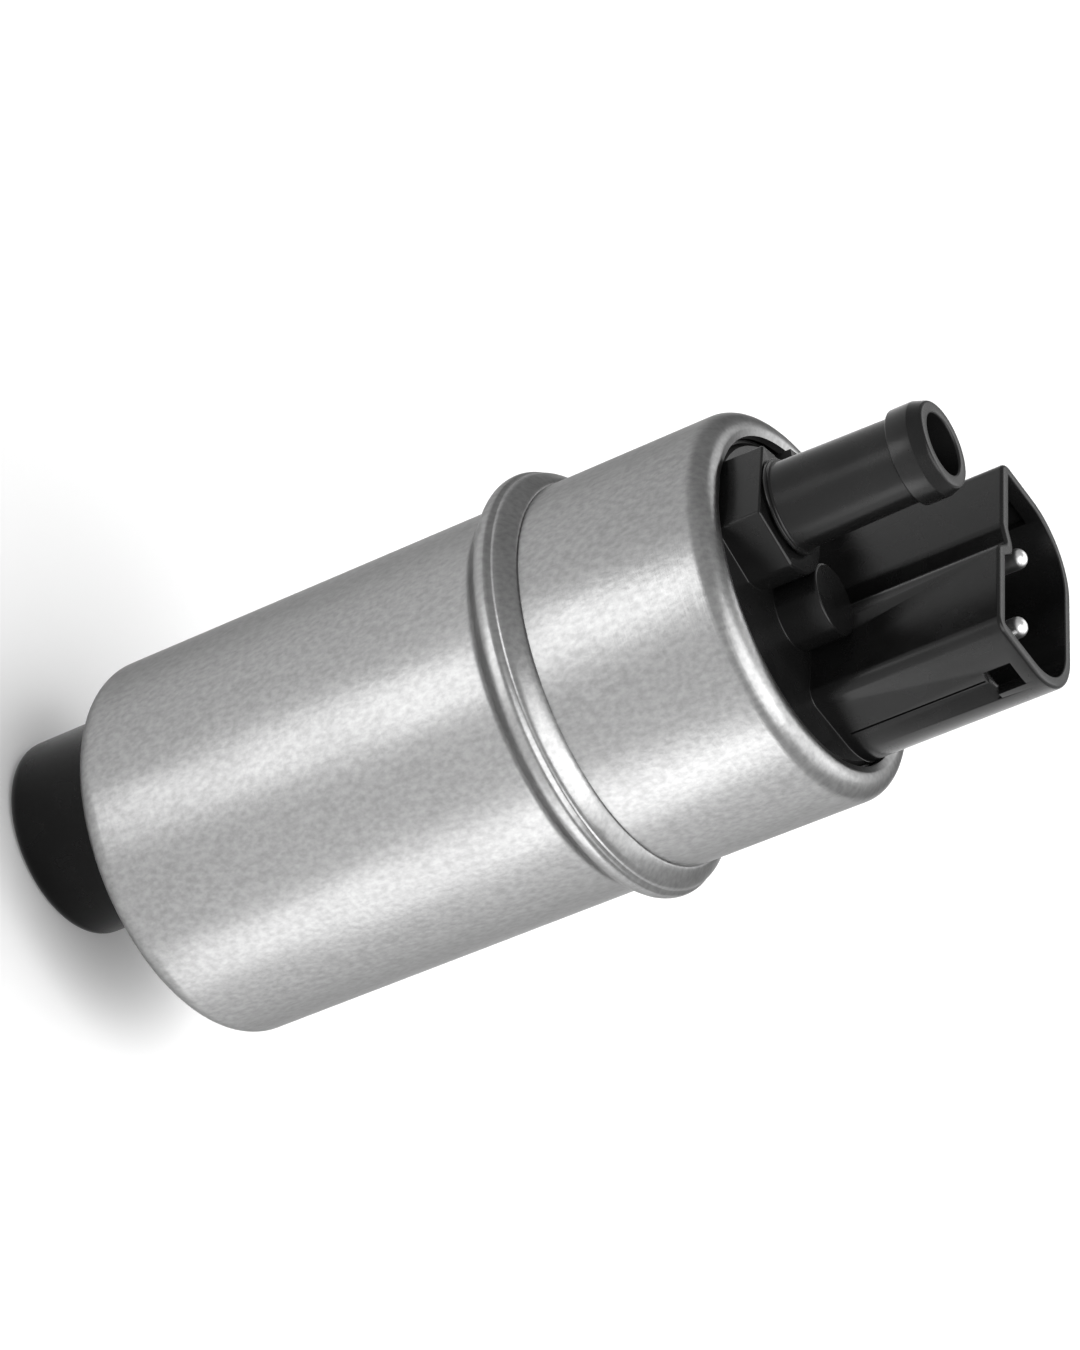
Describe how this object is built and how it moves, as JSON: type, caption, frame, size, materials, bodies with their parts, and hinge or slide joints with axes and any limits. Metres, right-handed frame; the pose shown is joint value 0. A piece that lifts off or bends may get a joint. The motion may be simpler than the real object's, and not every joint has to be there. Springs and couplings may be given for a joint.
{
  "type": "fuel pump",
  "caption": "In-tank electric fuel pump: steel can with a rolled double bead, off-centre inlet neck, and an outlet cover with a barbed hose stub and a keyed plug socket.",
  "frame": {"origin": "on the pump's axis, level with the end of the inlet neck", "axes": "+Z along the pump's axis from inlet to outlet, +X from the axis towards the plug socket"},
  "size_m": [0.0422, 0.0422, 0.101],
  "materials": {
    "can_steel": "satin tin plating with a fine mottle",
    "cover_plastic": "black moulded plastic, slightly glossy",
    "seal_rubber": "matt black",
    "motor_steel": "plain steel",
    "cast_aluminium": "die cast",
    "sintered_bronze": "porous, oiled",
    "copper": "enamelled or turned copper",
    "carbon": "pressed graphite",
    "brass": "stamped or turned",
    "ferrite": "ground",
    "phenolic": "moulded",
    "pin_plating": "bright plating"
  },
  "bodies": {
    "pump_body": {"can_shell": "can_steel", "inlet_cover": "cover_plastic", "inlet_seal_ring": "seal_rubber", "thrust_button": "motor_steel", "pump_casing": "cast_aluminium", "lower_bearing": "sintered_bronze", "flux_ring": "motor_steel", "magnet_near": "ferrite", "magnet_far": "ferrite", "magnet_clip_right": "motor_steel", "magnet_clip_left": "motor_steel", "brush_holder": "cover_plastic", "upper_bearing": "sintered_bronze", "brush_spring_positive": "motor_steel", "brush_spring_negative": "motor_steel", "contact_strip_positive": "brass", "contact_strip_negative": "brass", "terminal_pin_positive": "pin_plating", "terminal_pin_negative": "pin_plating", "outlet_cover": "cover_plastic", "outlet_seal_ring": "seal_rubber", "hose_stub": "cover_plastic", "check_valve_spring": "motor_steel", "check_valve_retainer": "brass", "relief_valve_seat": "brass", "relief_valve_spring": "motor_steel"},
    "rotor": {"rotor_shaft": "motor_steel", "impeller": "phenolic", "armature_core": "motor_steel", "armature_windings": "copper", "commutator_hub": "phenolic", "commutator_segment_1": "copper", "commutator_segment_2": "copper", "commutator_segment_3": "copper", "commutator_segment_4": "copper", "commutator_segment_5": "copper", "commutator_segment_6": "copper", "commutator_segment_7": "copper", "commutator_segment_8": "copper"},
    "positive_brush": {"brush_positive": "carbon"},
    "negative_brush": {"brush_negative": "carbon"},
    "check_valve": {"check_valve_poppet": "brass", "check_valve_seal": "seal_rubber"},
    "relief_valve": {"relief_valve_ball": "motor_steel"}
  },
  "joints": [
    {"name": "rotor_spin", "type": "hinge", "parent": "pump_body", "child": "rotor", "pos_m": [0, 0, 0.045], "axis": [0, 0, 1], "continuous": true},
    {"name": "brush_positive_lift", "type": "slide", "parent": "pump_body", "child": "positive_brush", "axis": [0, 0, 1], "range_m": [0, 0.0015], "stiffness_N_per_m": 150, "springref_m": -0.003, "deforming": ["brush_spring_positive"]},
    {"name": "brush_negative_lift", "type": "slide", "parent": "pump_body", "child": "negative_brush", "axis": [0, 0, 1], "range_m": [0, 0.0015], "stiffness_N_per_m": 150, "springref_m": -0.003, "deforming": ["brush_spring_negative"]},
    {"name": "check_valve_lift", "type": "slide", "parent": "pump_body", "child": "check_valve", "axis": [0, 0, 1], "range_m": [0, 0.0015], "stiffness_N_per_m": 100, "springref_m": -0.004, "deforming": ["check_valve_spring"]},
    {"name": "relief_valve_lift", "type": "slide", "parent": "pump_body", "child": "relief_valve", "axis": [0, 0, 1], "range_m": [0, 0.0006], "stiffness_N_per_m": 500, "springref_m": -0.002, "deforming": ["relief_valve_spring"]}
  ]
}
